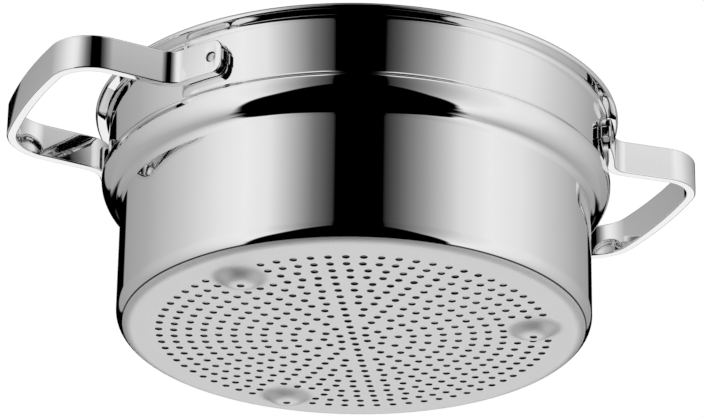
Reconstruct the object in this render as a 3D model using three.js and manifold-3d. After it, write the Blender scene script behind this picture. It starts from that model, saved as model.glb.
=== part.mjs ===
// Steamer insert of a potato steaming set: a drawn steel pot with a domed, perforated base on three
// pressed feet, a seating shoulder below the collar, a flared pouring rim and two welded strap handles.
// Millimetres, +Z up. The origin is on the standing plane, on the pot's axis, and the handles lie on X.

import * as THREE from 'three';
import { mergeVertices } from 'three/addons/utils/BufferGeometryUtils.js';
import Module from 'manifold-3d';

// Sheet and joints
const sheet = 0.8;
const seamGap = 0.3;
const weldGap = 0.5;
const studClearance = 0.3;

// Wall, from the base up to the shoulder
const wallRadius = 95.35;
const cornerRadius = 7;
const wallHeight = 44.03;

// Seating shoulder and the bead above it
const shoulderStep = 8.15;
const shoulderFillet = 3.7;
const shoulderArc = 9.7;
const shoulderLand = 0.4;
const beadStep = 2.2;
const beadArc = 2;

// Collar and pouring rim
const collarHeight = 21.6;
const rimReach = 5.8;
const rimFillet = 2;
const rimTilt = 85;
const lipRadius = 1.2;

// Perforated base
const domeLean = 2.7;
const plainBorder = 10.66;
const holeRings = 13;
const firstRingHoles = 6;
const ringGain = 12;
const holeDiameter = 3;

// Pressed feet
const footCount = 3;
const footRing = 12;
const footDrop = 4.2;
const footRadius = 12.4;
const crownRadius = 2.8;
const footBlank = 10.2;
const footBlend = 0.2;

// Strap handles
const strapHeight = 14;
const strapThickness = 4;
const strapDrop = 10.7;
const tabLength = 19.3;
const tabCorner = 4.5;
const bendRadius = 8;
const gripWidth = 89.2;
const gripReach = 40.7;
const gripCorner = 19.6;
const bowRadius = 238;
const gripTilt = 3;

// Weld studs
const studDiameter = 3.6;
const studInset = 5.5;
const studRecess = 0.5;

// Facets
const turnSteps = 60;
const cornerSteps = 5;
const filletSteps = 2;
const shoulderSteps = 4;
const beadSteps = 2;
const rimSteps = 3;
const lipSteps = 7;
const holeSides = 4;
const footSteps = 16;
const footRings = 4;
const tipSteps = 3;
const tabSteps = 5;
const bendSteps = 5;
const gripSteps = 7;
const bowSteps = 4;
const studSides = 10;

const radians = THREE.MathUtils.degToRad;

// Sizes that follow from the ones above
const collarRadius = wallRadius + shoulderStep - beadStep;
const seamSlope = radians(domeLean);
const seamRadius = wallRadius - cornerRadius * (1 - Math.sin(seamSlope));
const domeDrop = seamRadius * Math.tan(seamSlope) / 2;
const ringPitch = (seamRadius - plainBorder) / holeRings;
const tabRadius = collarRadius + weldGap + strapThickness;
const legLine = gripWidth / 2;
const tabStart = Math.asin((legLine + bendRadius) / (tabRadius + bendRadius));
const tabEnd = tabStart + tabLength / tabRadius;
const studAngle = tabEnd - studInset / tabRadius;

const wasm = await Module();
wasm.setup();

// A closed mesh with shared vertices, from any geometry
function closedMesh(geometry) {
  const bare = geometry.clone();
  bare.deleteAttribute('normal');
  bare.deleteAttribute('uv');
  const merged = mergeVertices(bare);
  merged.computeVertexNormals();
  return merged;
}

function toSolid(geometry) {
  const merged = closedMesh(geometry);
  const vertProperties = new Float32Array(merged.attributes.position.array);
  const triVerts = new Uint32Array(merged.index.array);
  return new wasm.Manifold(new wasm.Mesh({ numProp: 3, vertProperties, triVerts }));
}

function fromSolid(solid) {
  const mesh = solid.getMesh();
  const geometry = new THREE.BufferGeometry();
  geometry.setAttribute('position', new THREE.BufferAttribute(mesh.vertProperties, 3));
  geometry.setIndex(new THREE.BufferAttribute(mesh.triVerts, 1));
  geometry.computeVertexNormals();
  return geometry;
}

// Points along an arc, each with the normal of the face it belongs to: out of a convex arc, into a hollow one
function arc(centre, radius, from, to, steps, hollow = false) {
  const points = [];
  for (let step = 0; step <= steps; step += 1) {
    const angle = from + (to - from) * step / steps;
    const normal = new THREE.Vector2(Math.cos(angle), Math.sin(angle));
    const point = normal.clone().multiplyScalar(radius).add(centre);
    points.push({ point, normal: hollow ? normal.negate() : normal });
  }
  return points;
}

// The wall's outer face from the seam up to the rim's lip, as radius and height
function wallOutline() {
  const cornerTop = footDrop + cornerRadius * Math.cos(seamSlope);
  const wallTop = cornerTop + wallHeight;
  const lean = Math.acos(1 - shoulderStep / (shoulderFillet + shoulderArc));
  const landStart = wallTop + (shoulderFillet + shoulderArc) * Math.sin(lean);
  const beadStart = landStart + shoulderLand;
  const beadLean = Math.acos(1 - beadStep / (2 * beadArc));
  const collarStart = beadStart + 2 * beadArc * Math.sin(beadLean);
  const collarTop = collarStart + collarHeight;
  const shoulderRadius = wallRadius + shoulderStep;
  const tilt = radians(rimTilt);

  const corner = new THREE.Vector2(wallRadius - cornerRadius, cornerTop);
  const fillet = new THREE.Vector2(wallRadius + shoulderFillet, wallTop);
  const shoulder = new THREE.Vector2(shoulderRadius - shoulderArc, landStart);
  const bead = new THREE.Vector2(shoulderRadius - beadArc, beadStart);
  const beadFoot = new THREE.Vector2(collarRadius + beadArc, collarStart);
  const rim = new THREE.Vector2(collarRadius + rimFillet, collarTop);

  const outline = [
    ...arc(corner, cornerRadius, seamSlope - Math.PI / 2, 0, cornerSteps),
    ...arc(fillet, shoulderFillet, Math.PI, Math.PI - lean, filletSteps, true),
    ...arc(shoulder, shoulderArc, -lean, 0, shoulderSteps).slice(1),
    ...arc(bead, beadArc, 0, beadLean, beadSteps),
    ...arc(beadFoot, beadArc, Math.PI + beadLean, Math.PI, beadSteps, true).slice(1),
    ...arc(rim, rimFillet, Math.PI, Math.PI - tilt, rimSteps, true),
  ];
  const flange = (rimReach - (rimFillet + lipRadius) * (1 - Math.cos(tilt))) / Math.sin(tilt);
  const lipRoot = Math.sqrt(sheet * (2 * lipRadius - sheet));
  const lipEnd = 2 * Math.PI - tilt - Math.acos(1 - sheet / lipRadius);
  const { point, normal } = outline[outline.length - 1];
  const along = new THREE.Vector2(Math.sin(tilt), Math.cos(tilt));
  const lipCentre = along.clone().multiplyScalar(flange).add(point).addScaledVector(normal, -lipRadius);
  outline.push({ point: along.multiplyScalar(flange - lipRoot).add(point), normal });
  const lip = arc(lipCentre, lipRadius, -tilt, lipEnd, lipSteps).slice(0, -1);
  return { outline, lip, collarTop };
}

const wall = wallOutline();
const strapCentre = wall.collarTop - strapDrop;

// The wall is one sheet thick along its outline, with a rolled lip round the rim's edge
function wallGeometry() {
  const outside = wall.outline.map(({ point }) => point);
  const inside = wall.outline.map(({ point, normal }) => normal.clone().multiplyScalar(-sheet).add(point));
  const lip = wall.lip.map(({ point }) => point);
  const profile = [...outside, ...lip, ...inside.reverse(), outside[0]];
  const turned = new THREE.LatheGeometry(profile, turnSteps);
  turned.rotateX(Math.PI / 2);
  return closedMesh(turned);
}

function ringPoint(centre, radius, angle) {
  return new THREE.Vector2(centre.x + radius * Math.cos(angle), centre.y + radius * Math.sin(angle));
}

function loop(centre, radius, sides) {
  const points = [];
  for (let side = 0; side < sides; side += 1) {
    points.push(ringPoint(centre, radius, 2 * Math.PI * side / sides));
  }
  return points;
}

const axis = new THREE.Vector2(0, 0);

function footCentres() {
  const centres = [];
  for (let foot = 0; foot < footCount; foot += 1) {
    centres.push(ringPoint(axis, footRing * ringPitch, Math.PI / 2 + 2 * Math.PI * foot / footCount));
  }
  return centres;
}

const feet = footCentres();

// Holes stand on rings round a middle one, and every second ring gains the same number of holes
function holeCentres() {
  const centres = [axis];
  for (let ring = 1; ring <= holeRings; ring += 1) {
    const count = ring === 1 ? firstRingHoles : ringGain * Math.floor(ring / 2);
    for (let hole = 0; hole < count; hole += 1) {
      centres.push(ringPoint(axis, ring * ringPitch, 2 * Math.PI * hole / count));
    }
  }
  const clear = footBlank + holeDiameter / 2;
  return centres.filter((centre) => feet.every((foot) => foot.distanceTo(centre) > clear));
}

// Slope of a foot's skirt: even, and eased over the same share at both ends
function footEase(share) {
  const eased = THREE.MathUtils.clamp(share, 0, footBlend);
  return eased * eased / (2 * footBlend) + Math.max(share - footBlend, 0);
}

// Height of the base's lower face: a shallow dome, drawn down to a flat crown at each foot
function baseHeight(point) {
  const edgeSquared = seamRadius * seamRadius;
  const dome = footDrop - domeDrop * (1 - point.lengthSq() / edgeSquared);
  const away = Math.min(...feet.map((foot) => foot.distanceTo(point)));
  const share = THREE.MathUtils.clamp((away - crownRadius) / (footRadius - crownRadius), 0, 1);
  return dome * (footEase(share) - footEase(share - 1 + footBlend)) / (1 - footBlend);
}

// The base's plan: the punched sheet, then rings that shape each foot round its drain hole
function basePlan() {
  const rim = loop(axis, seamRadius - seamGap, turnSteps);
  const holes = holeCentres().map((centre) => loop(centre, holeDiameter / 2, holeSides));
  const drains = feet.map((foot) => loop(foot, holeDiameter / 2, footSteps));
  const outer = feet.map((foot) => loop(foot, footBlank, footSteps));
  const openings = [...holes, ...outer];
  const points = [rim, ...openings].flat();
  const faces = THREE.ShapeUtils.triangulateShape(rim, openings);
  const triangles = faces.map((face) => face.map((at) => points[at]));
  const ringRadii = [];
  for (let ring = footRings; ring >= 0; ring -= 1) {
    ringRadii.push(crownRadius + (footBlank - crownRadius) * ring / footRings);
  }
  feet.forEach((foot, index) => {
    const rings = [...ringRadii.map((radius) => loop(foot, radius, footSteps)), drains[index]];
    for (let ring = 0; ring + 1 < rings.length; ring += 1) {
      for (let step = 0; step < footSteps; step += 1) {
        const next = (step + 1) % footSteps;
        triangles.push([rings[ring][step], rings[ring][next], rings[ring + 1][next]]);
        triangles.push([rings[ring][step], rings[ring + 1][next], rings[ring + 1][step]]);
      }
    }
  });
  return { triangles, rim, bores: [...holes, ...drains] };
}

function baseGeometry() {
  const plan = basePlan();
  const corners = [];
  const below = (point) => corners.push(point.x, point.y, baseHeight(point));
  const above = (point) => corners.push(point.x, point.y, baseHeight(point) + sheet);
  plan.triangles.forEach(([a, b, c]) => {
    [a, b, c].forEach(above);
    [a, c, b].forEach(below);
  });
  const edge = (points) => points.forEach((point, at) => {
    const next = points[(at + 1) % points.length];
    below(point);
    below(next);
    above(next);
    below(point);
    above(next);
    above(point);
  });
  edge(plan.rim);
  plan.bores.forEach((bore) => edge([...bore].reverse()));
  const geometry = new THREE.BufferGeometry();
  geometry.setAttribute('position', new THREE.Float32BufferAttribute(corners, 3));
  return closedMesh(geometry);
}

// One half of the strap's outer face in plan, from the tab's free end to the middle of the grip
function strapOutline() {
  const bend = ringPoint(axis, tabRadius + bendRadius, tabStart);
  const bow = new THREE.Vector2(collarRadius + gripReach - bowRadius, 0);
  const cornerY = legLine - gripCorner;
  const corner = new THREE.Vector2(bow.x + Math.sqrt((bowRadius - gripCorner) ** 2 - cornerY ** 2), cornerY);
  const bowEnd = Math.atan2(cornerY, corner.x - bow.x);

  const tip = [];
  for (let step = 0; step <= tipSteps; step += 1) {
    const turn = Math.PI / 2 * step / tipSteps;
    const angle = tabEnd - tabCorner * (1 - Math.cos(turn)) / tabRadius;
    tip.push({ ...arc(axis, tabRadius, angle, tabStart, 1)[0], trim: tabCorner * (1 - Math.sin(turn)) });
  }
  const plain = [
    ...arc(axis, tabRadius, tabEnd - tabCorner / tabRadius, tabStart, tabSteps).slice(1),
    ...arc(bend, bendRadius, tabStart + Math.PI, 1.5 * Math.PI, bendSteps, true).slice(1),
    ...arc(corner, gripCorner, Math.PI / 2, bowEnd, gripSteps),
    ...arc(bow, bowRadius, bowEnd, 0, bowSteps).slice(1),
  ];
  return [...tip, ...plain.map((place) => ({ ...place, trim: 0 }))];
}

// A flat strap on edge along its outline, rising towards the grip and rounded at the tabs' free ends
function strapGeometry() {
  const half = strapOutline();
  const riseStart = tabRadius * Math.cos(tabStart);
  const flip = new THREE.Vector2(1, -1);
  const mirrored = half.slice(0, -1).reverse().map(({ point, normal, trim }) => (
    { point: point.clone().multiply(flip), normal: normal.clone().multiply(flip), trim }));
  const stations = [...half, ...mirrored].map(({ point, normal, trim }) => {
    const back = normal.clone().multiplyScalar(-strapThickness).add(point);
    return [[point, -1], [back, -1], [back, 1], [point, 1]].map(([place, side]) => {
      const rise = Math.max(place.x - riseStart, 0) * Math.tan(radians(gripTilt));
      return new THREE.Vector3(place.x, place.y, strapCentre + rise + side * (strapHeight / 2 - trim));
    });
  });
  const corners = [];
  const quad = (a, b, c, d) => [a, b, c, a, c, d].forEach((place) => corners.push(...place.toArray()));
  for (let at = 0; at + 1 < stations.length; at += 1) {
    const here = stations[at];
    const next = stations[at + 1];
    for (let side = 0; side < 4; side += 1) {
      const turn = (side + 1) % 4;
      quad(here[side], next[side], next[turn], here[turn]);
    }
  }
  quad(...stations[0]);
  quad(...[...stations[stations.length - 1]].reverse());
  const geometry = new THREE.BufferGeometry();
  geometry.setAttribute('position', new THREE.Float32BufferAttribute(corners, 3));
  return geometry;
}

// A pin that points out from the axis, at a stud's place on the right-hand handle
function radialPin(diameter, from, to, side) {
  const pin = new THREE.CylinderGeometry(diameter / 2, diameter / 2, to - from, studSides);
  pin.rotateZ(-Math.PI / 2);
  pin.translate((from + to) / 2, 0, 0);
  pin.rotateZ(side * studAngle);
  pin.translate(0, 0, strapCentre);
  return pin;
}

const tabSides = { front: -1, back: 1 };

function handleGeometry() {
  const bore = studDiameter + 2 * studClearance;
  let strap = toSolid(strapGeometry());
  Object.values(tabSides).forEach((side) => {
    const drill = radialPin(bore, collarRadius, tabRadius + strapThickness, side);
    strap = strap.subtract(toSolid(drill));
  });
  return fromSolid(strap);
}

function studGeometry(side) {
  return closedMesh(radialPin(studDiameter, collarRadius + studClearance, tabRadius - studRecess, side));
}

const polished = new THREE.MeshStandardMaterial({ color: 0xd9dcdc, roughness: 0.1, metalness: 1 });
const satin = new THREE.MeshStandardMaterial({ color: 0xd0d2d2, roughness: 0.38, metalness: 1 });
const strapSteel = new THREE.MeshStandardMaterial({ color: 0xd4d7d7, roughness: 0.16, metalness: 1 });
const weldSteel = new THREE.MeshStandardMaterial({ color: 0x8f9393, roughness: 0.3, metalness: 1 });

const steamer = new THREE.Group();

function addPiece(parent, name, geometry, material) {
  const mesh = new THREE.Mesh(geometry, material);
  mesh.name = name;
  parent.add(mesh);
}

addPiece(steamer, 'pot_wall', wallGeometry(), polished);
addPiece(steamer, 'perforated_base', baseGeometry(), satin);

// The left handle is the right one turned half round, so its front tab is the other one's back tab
const handleTurns = { right: 0, left: Math.PI };
Object.entries(handleTurns).forEach(([hand, turn]) => {
  const group = new THREE.Group();
  group.rotation.z = turn;
  addPiece(group, `${hand}_handle`, handleGeometry(), strapSteel);
  Object.entries(tabSides).forEach(([place, side]) => {
    const turnedSide = turn === 0 ? side : -side;
    addPiece(group, `${hand}_${place}_weld_stud`, studGeometry(turnedSide), weldSteel);
  });
  steamer.add(group);
});

export default steamer;
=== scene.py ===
import bpy
import bmesh
import math
from mathutils import Matrix, Vector


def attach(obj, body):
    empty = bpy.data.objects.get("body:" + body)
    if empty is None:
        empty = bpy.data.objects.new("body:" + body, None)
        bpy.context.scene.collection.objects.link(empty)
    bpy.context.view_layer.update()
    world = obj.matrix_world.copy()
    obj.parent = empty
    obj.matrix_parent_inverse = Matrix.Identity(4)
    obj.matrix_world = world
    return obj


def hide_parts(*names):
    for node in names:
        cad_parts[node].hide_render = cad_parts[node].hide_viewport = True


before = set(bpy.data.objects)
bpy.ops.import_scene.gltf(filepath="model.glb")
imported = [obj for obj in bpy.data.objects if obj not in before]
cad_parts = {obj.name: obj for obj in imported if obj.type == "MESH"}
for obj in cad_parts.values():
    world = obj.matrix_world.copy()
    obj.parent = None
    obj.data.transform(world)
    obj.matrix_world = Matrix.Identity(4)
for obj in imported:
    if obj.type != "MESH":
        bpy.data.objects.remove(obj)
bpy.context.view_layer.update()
print("frame:", len(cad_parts), "solids")

mm = 0.001
weldReach = 0.004 * mm
indexNudge = 0.0001  # keeps a rounded-down index from slipping by one
radians = math.radians
sharpFrom = radians(36)
scene = bpy.context.scene
scene.view_settings.view_transform = "Standard"


class Wire:
    # a node socket that can be used in plain sums
    def __init__(self, bench, socket):
        self.bench = bench
        self.socket = socket

    def maths(self, operation, *terms):
        return self.bench.add("ShaderNodeMath", {"operation": operation}, terms)

    def __add__(self, other):
        return self.maths("ADD", self, other)

    def __radd__(self, other):
        return self.maths("ADD", other, self)

    def __sub__(self, other):
        return self.maths("SUBTRACT", self, other)

    def __rsub__(self, other):
        return self.maths("SUBTRACT", other, self)

    def __mul__(self, other):
        return self.maths("MULTIPLY", self, other)

    def __rmul__(self, other):
        return self.maths("MULTIPLY", other, self)

    def __truediv__(self, other):
        return self.maths("DIVIDE", self, other)

    def __pow__(self, other):
        return self.maths("POWER", self, other)

    def __lt__(self, other):
        return self.maths("LESS_THAN", self, other)

    def __gt__(self, other):
        return self.maths("GREATER_THAN", self, other)

    def do(self, operation, *others):
        return self.maths(operation, self, *others)

    def between(self, low, high):
        # 0 at low, 1 at high, eased in the middle
        settings = {"interpolation_type": "SMOOTHSTEP"}
        ends = {"Value": self, "From Min": low, "From Max": high}
        return self.bench.add("ShaderNodeMapRange", settings, ends)


class Bench:
    # adds nodes to one tree
    def __init__(self, tree):
        self.tree = tree

    def find(self, sockets, key):
        if isinstance(key, int):
            return sockets[key]
        return next(s for s in sockets if key in (s.identifier, s.name) and s.enabled)

    def add(self, kind, settings=None, sockets=(), out=0):
        node = self.tree.nodes.new(kind)
        for key, value in (settings or {}).items():
            if key == "stops":
                self.fillRamp(node.color_ramp, value)
            else:
                setattr(node, key, value)
        pairs = sockets.items() if isinstance(sockets, dict) else enumerate(sockets)
        for key, value in pairs:
            socket = self.find(node.inputs, key)
            for each in value if isinstance(value, list) else [value]:
                if isinstance(each, Wire):
                    self.tree.links.new(each.socket, socket)
                else:
                    socket.default_value = each
        return Wire(self, self.find(node.outputs, out)) if node.outputs else None

    def other(self, wire, out):
        return Wire(self, self.find(wire.socket.node.outputs, out))

    def fillRamp(self, ramp, stops):
        for at, shade in stops[2:]:
            ramp.elements.new(at)
        for element, (at, shade) in zip(ramp.elements, stops):
            element.position = at
            element.color = (shade, shade, shade, 1)

    def split(self, wire):
        node = self.add("ShaderNodeSeparateXYZ", None, [wire])
        return node, self.other(node, "Y"), self.other(node, "Z")

    def join(self, x, y, z):
        return self.add("ShaderNodeCombineXYZ", None, [x, y, z])

    def mix(self, factor, first, second):
        sockets = {"Factor_Float": factor, "A_Float": first, "B_Float": second}
        return self.add("ShaderNodeMix", {"data_type": "FLOAT"}, sockets, "Result_Float")


# geometry trees and what runs them
def newTree(name, sizes):
    tree = bpy.data.node_groups.new(name, "GeometryNodeTree")
    tree.interface.new_socket("Geometry", in_out="INPUT", socket_type="NodeSocketGeometry")
    for label, value in sizes.items():
        kind = {int: "NodeSocketInt", float: "NodeSocketFloat"}.get(type(value), "NodeSocketMaterial")
        tree.interface.new_socket(label, in_out="INPUT", socket_type=kind)
    tree.interface.new_socket("Geometry", in_out="OUTPUT", socket_type="NodeSocketGeometry")
    bench = Bench(tree)
    entry = tree.nodes.new("NodeGroupInput")
    wires = {socket.name: Wire(bench, socket) for socket in entry.outputs if socket.name}
    return tree, bench, wires


def endTree(bench, geometry, finishes):
    # finishes: a material, then pairs of selection and material
    last = bench.add("GeometryNodeRealizeInstances", None, {"Geometry": geometry})
    for selection, material in finishes:
        sockets = {"Geometry": last, "Material": material}
        if selection is not None:
            sockets["Selection"] = selection
        last = bench.add("GeometryNodeSetMaterial", None, sockets)
    leave = bench.tree.nodes.new("NodeGroupOutput")
    bench.tree.links.new(last.socket, leave.inputs[0])


def grow(name, tree, sizes, source=None):
    # runs a tree on a new object and keeps the result as a plain mesh
    host = bpy.data.objects.new(name, source or bpy.data.meshes.new(name))
    scene.collection.objects.link(host)
    modifier = host.modifiers.new(tree.name, "NODES")
    modifier.node_group = tree
    for item in tree.interface.items_tree:
        if item.in_out == "INPUT" and item.name in sizes:
            modifier[item.identifier] = sizes[item.name]
    graph = bpy.context.evaluated_depsgraph_get()
    mesh = bpy.data.meshes.new_from_object(host.evaluated_get(graph), depsgraph=graph)
    host.modifiers.remove(modifier)
    host.data = mesh
    mesh.name = name
    faceOut(mesh)
    mesh.set_sharp_from_angle(angle=sharpFrom)
    return host


def faceOut(mesh):
    work = bmesh.new()
    work.from_mesh(mesh)
    bmesh.ops.recalc_face_normals(work, faces=work.faces)
    if work.calc_volume(signed=True) < 0:
        bmesh.ops.reverse_faces(work, faces=work.faces)
    work.to_mesh(mesh)
    work.free()


def tellSize(name, mesh):
    mesh.calc_loop_triangles()
    print(name + ":", len(mesh.loop_triangles), "triangles")


def unitGrid(bench, rows, columns):
    sockets = {"Size X": 1.0, "Size Y": 1.0, "Vertices X": rows, "Vertices Y": columns}
    return bench.add("GeometryNodeMeshGrid", None, sockets)


# a polar patch: a grid bent round into rings
def polarPatch(bench, inner, outer, rings, sides):
    grid = unitGrid(bench, rings + 1, sides + 1)
    across, along, unused = bench.split(bench.add("GeometryNodeInputPosition"))
    radius = inner + (outer - inner) * (across + 0.5)
    angle = (along + 0.5) * (2 * math.pi)
    place = bench.join(radius * angle.do("COSINE"), radius * angle.do("SINE"), 0.0)
    return bench.add("GeometryNodeSetPosition", None, {"Geometry": grid, "Position": place})


def weld(bench, geometry):
    return bench.add("GeometryNodeMergeByDistance", None, {"Geometry": geometry, "Distance": weldReach})


# a turned piece: the profile's points, taken round the axis
def turnedTree():
    sizes = {"Steps": 1, "Outer Points": 1, "Outer Finish": None, "Inner Finish": None}
    tree, bench, wires = newTree("turnedProfile", sizes)
    profile = wires["Geometry"]
    points = bench.add("GeometryNodeAttributeDomainSize", None, {"Geometry": profile}, "Point Count")
    columns = wires["Steps"] + 1
    grid = unitGrid(bench, points, columns)
    index = bench.add("GeometryNodeInputIndex")
    station = (index / columns + indexNudge).do("FLOOR")
    turn = (index - station * columns) / wires["Steps"] * (2 * math.pi)
    sample = {"Geometry": profile, "Value": bench.add("GeometryNodeInputPosition"), "Index": station}
    spot = bench.add("GeometryNodeSampleIndex", {"data_type": "FLOAT_VECTOR"}, sample)
    radius, unused, height = bench.split(spot)
    place = bench.join(radius * turn.do("COSINE"), radius * turn.do("SINE"), height)
    inner = station > wires["Outer Points"] - 0.5
    stored = {"Geometry": grid, "Name": "inner", "Value": inner}
    marked = bench.add("GeometryNodeStoreNamedAttribute", {"data_type": "FLOAT"}, stored)
    turned = bench.add("GeometryNodeSetPosition", None, {"Geometry": marked, "Position": place})
    smooth = bench.add("GeometryNodeSetShadeSmooth", None, {"Geometry": weld(bench, turned)})
    kept = bench.add("GeometryNodeInputNamedAttribute", {"data_type": "FLOAT"}, {"Name": "inner"})
    innerFrom = 0.4
    endTree(bench, smooth, [(None, wires["Outer Finish"]), (kept > innerFrom, wires["Inner Finish"])])
    return tree


def pointsMesh(name, points, facts=None):
    mesh = bpy.data.meshes.new(name)
    mesh.from_pydata(points, [], [])
    for label, (kind, key, values) in (facts or {}).items():
        layer = mesh.attributes.new(label, kind, "POINT")
        for at, value in enumerate(values):
            setattr(layer.data[at], key, value)
    return mesh


# points on an arc with the face's normal: out of a round one, into a hollow one
def arc(centre, radius, start, end, steps, hollow=False):
    run = []
    for step in range(steps + 1):
        angle = start + (end - start) * step / steps
        normal = Vector((math.cos(angle), math.sin(angle)))
        run.append((Vector(centre) + radius * normal, -normal if hollow else normal))
    return run


# finishes: each has a level, a roughness and fine marks from the way it was worked; the bore's near-black
# level is painted shade for the punched holes
finish = {
    "mirror": {"shade": (0.84, 0.88), "rough": (0.008, 0.02), "grain": 1500, "relief": 0.001},
    "satin": {"shade": (0.87, 0.91), "rough": (0.48, 0.54), "grain": 1100, "relief": 0.004},
    "inside": {"shade": (0.52, 0.6), "rough": (0.34, 0.42), "grain": 700, "relief": 0.05},
    "bore": {"shade": (0.02, 0.05), "rough": (0.5, 0.65), "grain": 2400, "relief": 0.1},
    "strap": {"shade": (0.84, 0.89), "rough": (0.04, 0.075), "grain": 1400, "relief": 0.006},
    "weld": {"shade": (0.55, 0.75), "rough": (0.12, 0.22), "grain": 2600, "relief": 0.08},
}
marking = {
    "detail": 3.0, "turns": 6, "strip": 90, "cloud": 45.0, "cloudShare": 0.6,
    "blue": 1.003, "bump": 0.0002,
}
# the satin edge's heights, and a thin dark band painted into the colour just above it, a painted
# reflection of dark surroundings at the corner
satinEdgeAndPaintedLine = {"low": 0.0056, "high": 0.00572, "line": 0.0003, "fade": 1.5, "paintedLineDark": 0.94}


def newFinish(name):
    material = bpy.data.materials.new(name)
    material.use_nodes = True
    tree = material.node_tree
    shader = tree.nodes["Principled BSDF"]
    shader.inputs["Metallic"].default_value = 1
    return material, Bench(tree), shader


def objectSpot(bench):
    return bench.add("ShaderNodeTexCoord", None, (), "Object")


def fineNoise(bench, spot):
    sockets = {"Vector": spot, "Scale": 1.0, "Detail": marking["detail"]}
    return bench.add("ShaderNodeTexNoise", None, sockets)


def spunMarks(bench, grain):
    # fine lines that run round the axis, 0 to 1
    x, y, z = bench.split(objectSpot(bench))
    radius = (x * x + y * y).do("SQRT")
    turn = y.do("ARCTAN2", x).do("ABSOLUTE")
    spot = bench.join(radius * grain, z * grain, turn * marking["turns"])
    return fineNoise(bench, spot)


def drawnMarks(bench, grain):
    # fine lines that run along a strip that stands on edge, 0 to 1
    x, y, z = bench.split(objectSpot(bench))
    spot = bench.join(x * marking["strip"], y * marking["strip"], z * grain)
    return fineNoise(bench, spot)


def worked(bench, size, marks):
    # colour, roughness and relief from one set of marks
    sockets = {"Vector": objectSpot(bench), "Scale": marking["cloud"]}
    cloud = bench.add("ShaderNodeTexNoise", None, sockets)
    level = cloud * marking["cloudShare"] + marks * (1 - marking["cloudShare"])
    shade = bench.mix(level, size["shade"][0], size["shade"][1])
    rough = bench.mix(marks, size["rough"][0], size["rough"][1])
    return shade, rough, marks * size["relief"]


def grey(bench, shade):
    return bench.add("ShaderNodeCombineColor", None, [shade, shade, shade * marking["blue"]])


def bumped(bench, height):
    sockets = {"Height": height, "Strength": 1.0, "Distance": marking["bump"]}
    return bench.add("ShaderNodeBump", None, sockets)


def applyFinish(bench, shader, shade, rough, relief):
    wires = {"Base Color": grey(bench, shade), "Roughness": rough, "Normal": bumped(bench, relief)}
    for socket, wire in wires.items():
        bench.tree.links.new(wire.socket, shader.inputs[socket])


def steel(name, size, markMaker):
    material, bench, shader = newFinish(name)
    marks = markMaker(bench, size["grain"])
    applyFinish(bench, shader, *worked(bench, size, marks))
    return material


def wallSteel(name, polish, satin, size):
    # polished above the bottom corner, satin below it, with a painted reflection between the two: a thin
    # band of the colour is darkened
    material, bench, shader = newFinish(name)
    marks = spunMarks(bench, polish["grain"])
    matt = spunMarks(bench, satin["grain"])
    unused, unused, z = bench.split(objectSpot(bench))
    above = z.between(size["low"], size["high"])
    pairs = zip(worked(bench, satin, matt), worked(bench, polish, marks))
    shade, rough, relief = [bench.mix(above, plain, bright) for plain, bright in pairs]
    # painted reflection: the colour is darkened in a thin band just above the satin edge
    paintedLineTop = z.between(size["high"] + size["line"], size["high"] + size["fade"] * size["line"])
    shade = shade * (1 - above * (1 - paintedLineTop) * size["paintedLineDark"])
    applyFinish(bench, shader, shade, rough, relief)
    return material


mirrorSteel = wallSteel("mirrorSteel", finish["mirror"], finish["satin"], satinEdgeAndPaintedLine)
baseSteel = steel("baseSteel", finish["satin"], spunMarks)
innerSteel = steel("innerSteel", finish["inside"], spunMarks)
# painted shade: the bore walls are coloured near black to stand for the shade inside the punched holes
boreSteel = steel("boreSteel", finish["bore"], drawnMarks)
strapSteel = steel("strapSteel", finish["strap"], drawnMarks)
studSteel = steel("studSteel", finish["weld"], drawnMarks)
print("finishes ready")

# the drawn wall and its pierced base

wall = {
    "sheet": 0.8, "edge": 4.2, "radius": 95.35, "corner": 7.0, "height": 44.03,
    "shoulderStep": 8.15, "shoulderFillet": 3.7, "shoulderArc": 9.7, "shoulderLand": 0.4,
    "beadStep": 2.2, "beadArc": 2.0, "collarHeight": 21.6,
    "rimReach": 5.8, "rimFillet": 2, "rimTilt": 85, "lip": 1.2, "steps": 288,
    "cornerSteps": 36, "filletSteps": 14, "shoulderSteps": 24, "beadSteps": 10,
    "rimSteps": 14, "lipSteps": 32, "lipPolished": 11,
}
base = {
    "domeLean": 2.7, "plainBorder": 10.66, "rings": 13, "firstRing": 6, "ringGain": 12,
    "holeRadius": 1.5, "holeSides": 20, "punchDepth": 4, "blankRings": 72,
    "footRing": 12, "feet": 3, "footRadius": 12.4, "crown": 2.8, "blend": 0.5, "clear": 11.7,
}
seamSlope = radians(base["domeLean"])
seamRadius = wall["radius"] - wall["corner"] * (1 - math.sin(seamSlope))
domeDrop = seamRadius * math.tan(seamSlope) / 2
ringPitch = (seamRadius - base["plainBorder"]) / base["rings"]
collarRadius = wall["radius"] + wall["shoulderStep"] - wall["beadStep"]
turnTree = turnedTree()


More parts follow.
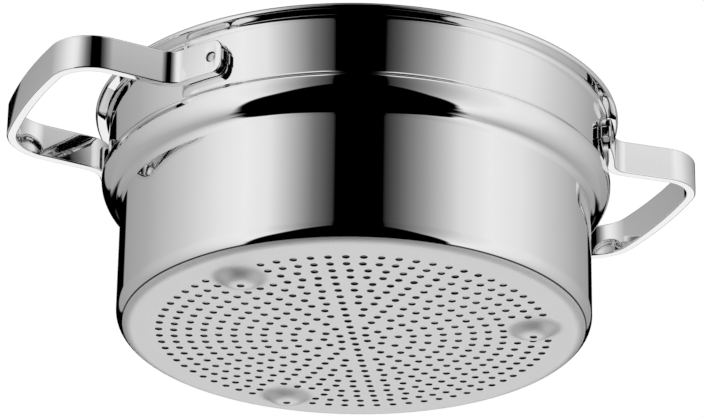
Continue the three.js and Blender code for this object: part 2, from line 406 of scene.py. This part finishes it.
def wallProfile(size):
    half = math.pi / 2
    cornerTop = size["edge"] + size["corner"] * math.cos(seamSlope)
    top = cornerTop + size["height"]
    reach = size["shoulderFillet"] + size["shoulderArc"]
    lean = math.acos(1 - size["shoulderStep"] / reach)
    land = top + reach * math.sin(lean)
    bead = land + size["shoulderLand"]
    beadLean = math.acos(1 - size["beadStep"] / (2 * size["beadArc"]))
    collar = bead + 2 * size["beadArc"] * math.sin(beadLean)
    collarTop = collar + size["collarHeight"]
    shoulder = size["radius"] + size["shoulderStep"]
    tilt = radians(size["rimTilt"])
    radius, corner, fillet = size["radius"], size["corner"], size["shoulderFillet"]
    bow, beadArc, rimFillet = size["shoulderArc"], size["beadArc"], size["rimFillet"]
    run = arc((radius - corner, cornerTop), corner, seamSlope - half, 0, size["cornerSteps"])
    run += arc((radius + fillet, top), fillet, math.pi, math.pi - lean, size["filletSteps"], True)
    run += arc((shoulder - bow, land), bow, -lean, 0, size["shoulderSteps"])[1:]
    run += arc((shoulder - beadArc, bead), beadArc, 0, beadLean, size["beadSteps"])
    hollow = (collarRadius + beadArc, collar)
    run += arc(hollow, beadArc, math.pi + beadLean, math.pi, size["beadSteps"], True)[1:]
    flare = (collarRadius + rimFillet, collarTop)
    run += arc(flare, rimFillet, math.pi, math.pi - tilt, size["rimSteps"], True)
    sheet, lip = size["sheet"], size["lip"]
    flange = (size["rimReach"] - (rimFillet + lip) * (1 - math.cos(tilt))) / math.sin(tilt)
    along = Vector((math.sin(tilt), math.cos(tilt)))
    spot, normal = run[-1]
    run.append((spot + along * (flange - math.sqrt(sheet * (2 * lip - sheet))), normal))
    lipEnd = 2 * math.pi - tilt - math.acos(1 - sheet / lip)
    lipAt = spot + along * flange - normal * lip
    roll = [point for point, face in arc(lipAt, lip, -tilt, lipEnd, size["lipSteps"])]
    split = size["lipPolished"]
    outer = [point for point, face in run] + roll[:split]
    inner = roll[split:-1] + [point - face * sheet for point, face in reversed(run)]
    loop = outer + inner + outer[:1]
    return [(point.x * mm, 0, point.y * mm) for point in loop], len(outer), collarTop


profile, outerCount, collarTop = wallProfile(wall)
sizes = {
    "Steps": wall["steps"], "Outer Points": outerCount,
    "Outer Finish": mirrorSteel, "Inner Finish": innerSteel,
}
potWall = grow("potWall", turnTree, sizes, pointsMesh("wallProfile", profile))
tellSize("potWall", potWall.data)


def piercedTree():
    sizes = {
        "Pitch": 1.0, "Hole Radius": 1.0, "Sheet": 1.0, "Edge Radius": 1.0, "Dome Drop": 1.0,
        "Foot Drop": 1.0, "Foot Radius": 1.0, "Crown": 1.0, "Clear": 1.0,
        "Outer Finish": None, "Inner Finish": None, "Bore Finish": None,
    }
    tree, bench, wires = newTree("piercedSheet", sizes)
    add = bench.add
    pitch, sheet = wires["Pitch"], wires["Sheet"]

    def ring(count, radius):
        return add("GeometryNodeMeshCircle", None, {"Vertices": count, "Radius": radius})

    def together(parts):
        return add("GeometryNodeJoinGeometry", None, {"Geometry": parts})

    # hole centres on rings, less those that a foot takes, and a drain in each foot
    footCircle = ring(base["feet"], pitch * base["footRing"])
    turned = {"Geometry": footCircle, "Rotation": (0, 0, math.pi / 2)}
    feet = add("GeometryNodeTransform", None, turned)
    spots = [add("GeometryNodeMeshLine", None, {"Count": 1})]
    for at in range(1, base["rings"] + 1):
        count = base["firstRing"] if at == 1 else base["ringGain"] * (at // 2)
        spots.append(ring(count, pitch * at))
    nearFoot = add("GeometryNodeProximity", {"target_element": "POINTS"}, [feet], "Distance")
    taken = {"Geometry": together(spots), "Selection": nearFoot < wires["Clear"]}
    lattice = add("GeometryNodeDeleteGeometry", None, taken)

    # a flat blank, punched through
    patch = polarPatch(bench, 0.0, wires["Edge Radius"], base["blankRings"], wall["steps"])
    blank = weld(bench, patch)
    lift = {"Mesh": blank, "Offset": (0, 0, 1), "Offset Scale": sheet, "Individual": False}
    raised = add("GeometryNodeExtrudeMesh", None, lift)
    slab = weld(bench, together([raised, add("GeometryNodeFlipFaces", None, {"Mesh": blank})]))
    depth = sheet * base["punchDepth"]
    pin = {"Vertices": base["holeSides"], "Radius": wires["Hole Radius"], "Depth": depth}
    punch = add("GeometryNodeMeshCylinder", None, pin)
    spread = {"Points": together([lattice, feet]), "Instance": punch}
    placed = add("GeometryNodeInstanceOnPoints", None, spread)
    punches = add("GeometryNodeRealizeInstances", None, {"Geometry": placed})
    cut = {"operation": "DIFFERENCE", "solver": "MANIFOLD"}
    punched = add("GeometryNodeMeshBoolean", cut, {"Mesh 1": slab, "Mesh 2": punches})

    # the dome, drawn down to a flat crown at each foot
    x, y, unused = bench.split(add("GeometryNodeInputPosition"))
    nearest = add("GeometryNodeProximity", {"target_element": "POINTS"}, [feet], "Position")
    footX, footY, unused = bench.split(nearest)
    away = ((x - footX) ** 2.0 + (y - footY) ** 2.0).do("SQRT")
    share = (away - wires["Crown"]) / (wires["Foot Radius"] - wires["Crown"])
    share = share.do("MAXIMUM", 0.0).do("MINIMUM", 1.0)
    blend = base["blend"]

    def run(at):
        eased = at.do("MAXIMUM", 0.0).do("MINIMUM", blend)
        return eased * eased / (2 * blend) + (at - blend).do("MAXIMUM", 0.0)

    ease = (run(share) - run(share - (1 - blend))) / (1 - blend)
    rimSquared = wires["Edge Radius"] * wires["Edge Radius"]
    dome = wires["Foot Drop"] - wires["Dome Drop"] * (1 - (x * x + y * y) / rimSquared)
    offset = {"Geometry": punched, "Offset": bench.join(0.0, 0.0, dome * ease)}
    shaped = add("GeometryNodeSetPosition", None, offset)
    smooth = add("GeometryNodeSetShadeSmooth", None, {"Geometry": shaped})
    unused, unused, lean = bench.split(add("GeometryNodeInputNormal"))
    flatFrom = 0.5
    upper, bored = lean > flatFrom, lean.do("ABSOLUTE") < flatFrom
    finishes = [(None, "Outer Finish"), (upper, "Inner Finish"), (bored, "Bore Finish")]
    endTree(bench, smooth, [(selection, wires[name]) for selection, name in finishes])
    return tree


sizes = {
    "Pitch": ringPitch * mm, "Hole Radius": base["holeRadius"] * mm, "Sheet": wall["sheet"] * mm,
    "Edge Radius": seamRadius * mm, "Dome Drop": domeDrop * mm, "Foot Drop": wall["edge"] * mm,
    "Foot Radius": base["footRadius"] * mm, "Crown": base["crown"] * mm, "Clear": base["clear"] * mm,
    "Outer Finish": baseSteel, "Inner Finish": innerSteel, "Bore Finish": boreSteel,
}
potBase = grow("potBase", piercedTree(), sizes)
tellSize("potBase", potBase.data)

# strap handles and their studs

strap = {
    "height": 14.0, "thickness": 4.0, "drop": 10.7, "weldGap": 0.5,
    "tabLength": 19.3, "tabCorner": 4.5, "bend": 8.0,
    "gripWidth": 89.2, "gripReach": 40.7, "gripCorner": 19.6, "bow": 238.0, "tilt": 3.0, "riseEase": 6,
    "edge": 0.7, "cornerPoints": 7, "endSteps": 5, "tipSteps": 12, "tabSteps": 30, "bendSteps": 20,
    "gripSteps": 36, "bowSteps": 20,
}
stud = {
    "radius": 1.8, "clearance": 0.3, "inset": 5.5, "recess": 0.5, "crown": 0.35, "steps": 40,
    "edge": 0.25, "edgeStop": 0.3, "edgeSteps": 5, "domeSteps": 6,
    "drillIn": 2, "drillOut": 3, "flare": 0.3, "flareSteps": 6,
}
strapCentre = collarTop - strap["drop"]
tabRadius = collarRadius + strap["weldGap"] + strap["thickness"]
tabStart = math.asin((strap["gripWidth"] / 2 + strap["bend"]) / (tabRadius + strap["bend"]))
tabEnd = tabStart + strap["tabLength"] / tabRadius
studAngle = tabEnd - stud["inset"] / tabRadius


def strapPath(size):
    # half the outer face in plan, from the tab's free end to the middle of the grip
    half = math.pi / 2
    leg = size["gripWidth"] / 2
    bendAt = Vector((math.cos(tabStart), math.sin(tabStart))) * (tabRadius + size["bend"])
    bowX = collarRadius + size["gripReach"] - size["bow"]
    cornerY = leg - size["gripCorner"]
    cornerX = bowX + math.sqrt((size["bow"] - size["gripCorner"]) ** 2 - cornerY ** 2)
    bowEnd = math.atan2(cornerY, cornerX - bowX)

    path = []

    def station(angle, trim, inset, close=0.0):
        point, normal = arc((0, 0), tabRadius, angle, angle, 1)[0]
        path.append((point, normal, trim, inset, close))

    station(tabEnd, size["tabCorner"], size["edge"], 1.0)
    for step in range(size["endSteps"] + 1):
        turn = half * step / size["endSteps"]
        inset = size["edge"] * (1 - math.sin(turn))
        station(tabEnd - size["edge"] * (1 - math.cos(turn)) / tabRadius, size["tabCorner"], inset)
    for step in range(1, size["tipSteps"] + 1):
        turn = half * step / size["tipSteps"]
        back = size["edge"] + (size["tabCorner"] - size["edge"]) * (1 - math.cos(turn))
        station(tabEnd - back / tabRadius, size["tabCorner"] * (1 - math.sin(turn)), 0.0)
    tipEnd = tabEnd - size["tabCorner"] / tabRadius
    run = arc((0, 0), tabRadius, tipEnd, tabStart, size["tabSteps"])[1:]
    run += arc(bendAt, size["bend"], tabStart + math.pi, 1.5 * math.pi, size["bendSteps"], True)[1:]
    run += arc((cornerX, cornerY), size["gripCorner"], half, bowEnd, size["gripSteps"])
    run += arc((bowX, 0), size["bow"], bowEnd, 0, size["bowSteps"])[1:]
    path += [(point, normal, 0.0, 0.0, 0.0) for point, normal in run]
    flip = Vector((1, -1))
    path += [(point * flip, normal * flip, *rest) for point, normal, *rest in reversed(path[:-1])]
    points = [(point.x * mm, point.y * mm, 0) for point, *rest in path]
    facts = {
        "out": ("FLOAT_VECTOR", "vector", [(normal.x, normal.y, 0) for point, normal, *rest in path]),
        "trim": ("FLOAT", "value", [place[2] * mm for place in path]),
        "inset": ("FLOAT", "value", [place[3] * mm for place in path]),
        "close": ("FLOAT", "value", [place[4] for place in path]),
    }
    return pointsMesh("strapPath", points, facts)


def strapTree():
    sizes = {
        "Thickness": 1.0, "Height": 1.0, "Edge": 1.0, "Centre": 1.0, "Rise Start": 1.0,
        "Rise Ease": 1.0, "Slope": 1.0, "Corner Points": 1, "Turn": 1.0, "Finish": None,
    }
    tree, bench, wires = newTree("bentStrap", sizes)
    add = bench.add
    path = wires["Geometry"]
    edge = wires["Edge"]
    quarter = wires["Corner Points"]
    columns = quarter * 4 + 1
    points = add("GeometryNodeAttributeDomainSize", None, {"Geometry": path}, "Point Count")
    grid = unitGrid(bench, points, columns)
    index = add("GeometryNodeInputIndex")
    station = (index / columns + indexNudge).do("FLOOR")
    around = index - station * columns

    def sample(kind, field):
        sockets = {"Geometry": path, "Value": field, "Index": station}
        return add("GeometryNodeSampleIndex", {"data_type": kind}, sockets)

    def fact(kind, name):
        return sample(kind, add("GeometryNodeInputNamedAttribute", {"data_type": kind}, {"Name": name}))

    # a section with rounded corners, seen along the strap
    around = around.do("MODULO", quarter * 4.0)
    side = (around / quarter + indexNudge).do("FLOOR")
    turn = (side + (around - side * quarter) / (quarter - 1.0)) * (math.pi / 2)
    middle = (side + 0.5) * (math.pi / 2)
    radius = edge - fact("FLOAT", "inset")
    spread = 1 - fact("FLOAT", "close")
    wide = wires["Thickness"] / 2 - edge
    across = wide * middle.do("COSINE").do("SIGN") + radius * turn.do("COSINE")
    high = wires["Height"] / 2 - edge - fact("FLOAT", "trim")
    tall = high * middle.do("SINE").do("SIGN") + radius * turn.do("SINE")
    pointX, pointY, unused = bench.split(sample("FLOAT_VECTOR", add("GeometryNodeInputPosition")))
    outX, outY, unused = bench.split(fact("FLOAT_VECTOR", "out"))
    push = across * spread - wires["Thickness"] / 2
    x = pointX + outX * push
    y = pointY + outY * push
    ahead = x - wires["Rise Start"]
    eased = (ahead * ahead + wires["Rise Ease"] * wires["Rise Ease"]).do("SQRT")
    rise = (ahead + eased) / 2 * wires["Slope"]
    place = bench.join(x, y, wires["Centre"] + rise + tall * spread)
    bent = add("GeometryNodeSetPosition", None, {"Geometry": grid, "Position": place})
    spun = {"Geometry": weld(bench, bent), "Rotation": bench.join(0.0, 0.0, wires["Turn"])}
    turned = add("GeometryNodeTransform", None, spun)
    smooth = add("GeometryNodeSetShadeSmooth", None, {"Geometry": turned})
    endTree(bench, smooth, [(None, wires["Finish"])])
    return tree


def studProfile(low, high, size):
    # a pin with a low domed head and a rounded edge
    radius, crown, edge = size["radius"], size["crown"], size["edge"]
    edgeAt = (radius - edge, high - crown - edge)
    run = [Vector((0, low)), Vector((radius, low))]
    rounded = arc(edgeAt, edge, 0, math.pi / 2 - size["edgeStop"], size["edgeSteps"])
    run += [point for point, normal in rounded]
    for step in range(size["domeSteps"] - 1, -1, -1):
        share = step / size["domeSteps"]
        run.append(Vector(((radius - edge) * share, high - crown * share ** 2)))
    return [(point.x * mm, 0, point.y * mm) for point in run]


def drillProfile(low, high, face, size):
    # the cutter: a plain bore that opens into a soft lip at the outer face
    radius, flare = size["radius"] + size["clearance"], size["flare"]
    run = [Vector((0, low)), Vector((radius, low))]
    lip = arc((radius + flare, face - flare), flare, math.pi, math.pi / 2, size["flareSteps"])
    run += [point for point, normal in lip]
    run += [Vector((radius + flare, high)), Vector((0, high))]
    return [(point.x * mm, 0, point.y * mm) for point in run]


def radial(angle):
    lift = Matrix.Translation((0, 0, strapCentre * mm))
    return lift @ Matrix.Rotation(angle, 4, "Z") @ Matrix.Rotation(math.pi / 2, 4, "Y")


def turnPiece(name, profile, steps, material, place):
    sizes = {
        "Steps": steps, "Outer Points": len(profile) + 1,
        "Outer Finish": material, "Inner Finish": material,
    }
    piece = grow(name, turnTree, sizes, pointsMesh(name, profile))
    piece.data.transform(place)
    return piece


bentStrap = strapTree()
handles = {}
studs = {}
for hand, turn in (("right", 0.0), ("left", math.pi)):
    sizes = {
        "Thickness": strap["thickness"] * mm, "Height": strap["height"] * mm, "Edge": strap["edge"] * mm,
        "Centre": strapCentre * mm, "Rise Start": tabRadius * math.cos(tabStart) * mm,
        "Rise Ease": strap["riseEase"] * mm, "Slope": math.tan(radians(strap["tilt"])),
        "Corner Points": strap["cornerPoints"], "Turn": turn, "Finish": strapSteel,
    }
    handle = grow(hand + "Handle", bentStrap, sizes, strapPath(strap))
    for place, side in (("Front", -1), ("Back", 1)):
        angle = turn + side * studAngle * (1 if turn == 0 else -1)
        low, high = collarRadius - stud["drillIn"], tabRadius + stud["drillOut"]
        bore = drillProfile(low, high, tabRadius, stud)
        drill = turnPiece("drill", bore, stud["steps"], strapSteel, radial(angle))
        cut = handle.modifiers.new("drill", "BOOLEAN")
        cut.object = drill
        cut.solver = "EXACT"
        graph = bpy.context.evaluated_depsgraph_get()
        mesh = bpy.data.meshes.new_from_object(handle.evaluated_get(graph), depsgraph=graph)
        handle.modifiers.remove(cut)
        handle.data = mesh
        bpy.data.objects.remove(drill)
        head = tabRadius - stud["recess"] + stud["crown"]
        pin = studProfile(collarRadius + stud["clearance"], head, stud)
        piece = turnPiece(hand + place + "Stud", pin, stud["steps"], studSteel, radial(angle))
        studs[f"{hand}_{place.lower()}_weld_stud"] = piece
    handle.data.set_sharp_from_angle(angle=sharpFrom)
    handles[hand + "_handle"] = handle
    tellSize(handle.name, handle.data)

# the pieces join the frame

potSlots = {"pot_wall": (potWall, "mirror_steel"), "perforated_base": (potBase, "satin_steel")}
potSlots.update({node: (piece, "strap_steel") for node, piece in handles.items()})
potSlots.update({node: (piece, "weld_steel") for node, piece in studs.items()})
for node, (piece, slotName) in potSlots.items():
    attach(piece, "root")
    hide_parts(node)
print("pieces on the frame:", len(potSlots))

# camera, floor and light

view = {
    "place": (-0.4979, -1.2022, -0.52998), "pitch": 24.361, "yaw": -0.066, "roll": 0.84, "turn": -22.5,
    "lens": 179.6, "sensor": 36.0, "near": 0.05, "far": 50,
}


def addCamera(size):
    yaw, pitch, roll = radians(size["yaw"]), radians(size["pitch"]), radians(size["roll"])
    ahead = Vector((math.sin(yaw) * math.cos(pitch), math.cos(yaw) * math.cos(pitch), math.sin(pitch)))
    ahead = Matrix.Rotation(radians(size["turn"]), 3, "Z") @ ahead
    right = ahead.cross(Vector((0, 0, 1))).normalized()
    up = right.cross(ahead)
    rolledRight = math.cos(roll) * right + math.sin(roll) * up
    rolledUp = math.cos(roll) * up - math.sin(roll) * right
    data = bpy.data.cameras.new("camera")
    data.lens = size["lens"]
    data.sensor_width = size["sensor"]
    data.sensor_fit = "HORIZONTAL"
    data.clip_start = size["near"]
    data.clip_end = size["far"]
    camera = bpy.data.objects.new("camera", data)
    pose = Matrix((rolledRight, rolledUp, -ahead)).transposed().to_4x4()
    camera.matrix_world = Matrix.Translation(size["place"]) @ pose
    scene.collection.objects.link(camera)
    scene.camera = camera


addCamera(view)


studio = {
    "facing": -112.5, "flagFrom": -12, "flagTo": -6, "lowest": -90.0, "span": 180.0, "blurMost": 20.0,
    "round": [
        (-180, 0.0), (-149, 0.0), (-148, 0.37), (-120, 0.46), (-90, 0.67), (-68, 0.88), (-54, 0.96),
        (-42, 0.88), (-30, 0.5), (-20, 0.19), (-10.6, 0.04), (-10.4, 0.0), (13.6, 0.0), (13.8, 0.03),
        (20, 0.11), (33, 0.36), (51, 0.8), (67, 0.95), (86, 0.87), (104, 0.68), (138, 0.42), (155, 0.36),
        (156, 0.0), (180, 0.0),
    ],
    "under": [
        (-180, 1.0), (-163, 1.0), (-160, 0.0), (-153, 0.0), (-150, 0.42), (-120, 0.46), (-90, 0.67),
        (-68, 0.88), (-54, 0.96), (-42, 0.88), (-30, 0.5), (-20, 0.19), (-10.6, 0.04), (-10.4, 0.0),
        (13.6, 0.0), (13.8, 0.03), (20, 0.11), (33, 0.36), (51, 0.8), (67, 0.95), (86, 0.87), (104, 0.68),
        (138, 0.46), (152, 0.42), (155, 0.0), (160, 0.0), (163, 1.0), (180, 1.0),
    ],
    "edge": [
        (-180, -78), (-152, -78), (-142, -62), (-100, -62), (-84, -58), (-73, -53), (-63, -47),
        (-54.5, -40.7), (-46, -35), (-38, -30.5), (-31, -25), (-25, -19), (-21.6, -16), (-12, -7), (0, 0),
        (14, -9), (20, -15.4), (26, -23), (34, -32.5), (42, -38.7), (50.5, -45.5), (59.5, -52.5),
        (68, -58.5), (90, -66), (142, -66), (152, -78), (180, -78),
    ],
    "ring": [
        (-180, 0.0), (-150, 0.0), (-110, 1.0), (-18, 1.0), (-12, 0.0), (14, 0.0), (20, 1.0), (110, 1.0),
        (150, 0.0), (180, 0.0),
    ],
    "blur": [(-180, 6), (-150, 2), (150, 2), (180, 6)],
    "top": [(30, 0.0), (42, 0.9), (60, 0.95), (72, 0.05), (90, 0.02)], "topFrom": 32, "topTo": 42,
}


def addWorld(size):
    # soft panels on both sides and behind, by bearing from the camera and height above the level
    world = bpy.data.worlds.new("studio")
    world.use_nodes = True
    scene.world = world
    tree = world.node_tree
    tree.nodes.clear()
    bench = Bench(tree)
    x, y, z = bench.split(bench.add("ShaderNodeTexCoord", None, (), "Generated"))
    facing = radians(size["facing"])
    towards = x * math.cos(facing) + y * math.sin(facing)
    aside = y * math.cos(facing) - x * math.sin(facing)
    degree = 180 / math.pi
    bearing = aside.do("ARCTAN2", towards) * degree
    height = z.do("ARCSINE") * degree

    def level(at, stops, scale=1.0, base=0.0):
        low, high = stops[0][0], stops[-1][0]
        run = [((spot - low) / (high - low), (value - base) / scale) for spot, value in stops]
        ramp = bench.add("ShaderNodeValToRGB", {"stops": run}, {"Fac": (at - low) / (high - low)})
        return ramp * scale + base

    around = level(bearing, size["round"])
    under = level(bearing, size["under"])
    edge = level(bearing, size["edge"], size["span"], size["lowest"])
    blur = level(bearing, size["blur"], size["blurMost"])
    top = level(height, size["top"]) * level(bearing, size["ring"])
    sides = bench.mix(height.between(size["flagFrom"], size["flagTo"]), under, around)
    above = bench.mix(height.between(size["topFrom"], size["topTo"]), sides, top)
    panels = above * height.between(edge - blur, edge + blur)
    seen = bench.add("ShaderNodeLightPath", None, (), "Is Camera Ray")
    through = bench.other(seen, "Is Transmission Ray")
    shown = bench.mix(seen.do("MAXIMUM", through), panels, 1.0)
    colour = bench.add("ShaderNodeCombineColor", None, [shown] * 3)
    back = bench.add("ShaderNodeBackground", None, {"Color": colour, "Strength": 1.0})
    bench.add("ShaderNodeOutputWorld", None, {"Surface": back})


addWorld(studio)

ground = {"half": 3, "drop": 0.0005, "shade": 0.8}
floor = bpy.data.objects.new("floor", bpy.data.meshes.new("floor"))
corners = [(-1, -1), (1, -1), (1, 1), (-1, 1)]
floorPoints = [(x * ground["half"], y * ground["half"], 0) for x, y in corners]
floor.data.from_pydata(floorPoints, [], [(0, 1, 2, 3)])
floor.location.z = -ground["drop"]
scene.collection.objects.link(floor)


def floorMaterial(shade):
    # pale from above, clear from below and to all but the camera
    material = bpy.data.materials.new("paleFloor")
    material.use_nodes = True
    tree = material.node_tree
    tree.nodes.clear()
    bench = Bench(tree)
    seen = bench.add("ShaderNodeLightPath", None, (), "Is Camera Ray")
    under = bench.add("ShaderNodeNewGeometry", None, (), "Backfacing")
    pale = bench.add("ShaderNodeBsdfDiffuse", None, {"Color": (shade, shade, shade, 1)})
    clear = bench.add("ShaderNodeBsdfTransparent")
    both = bench.add("ShaderNodeMixShader", None, [seen * (1 - under), clear, pale])
    bench.add("ShaderNodeOutputMaterial", None, {"Surface": both})
    return material


floor.data.materials.append(floorMaterial(ground["shade"]))
print("camera, floor and light ready")
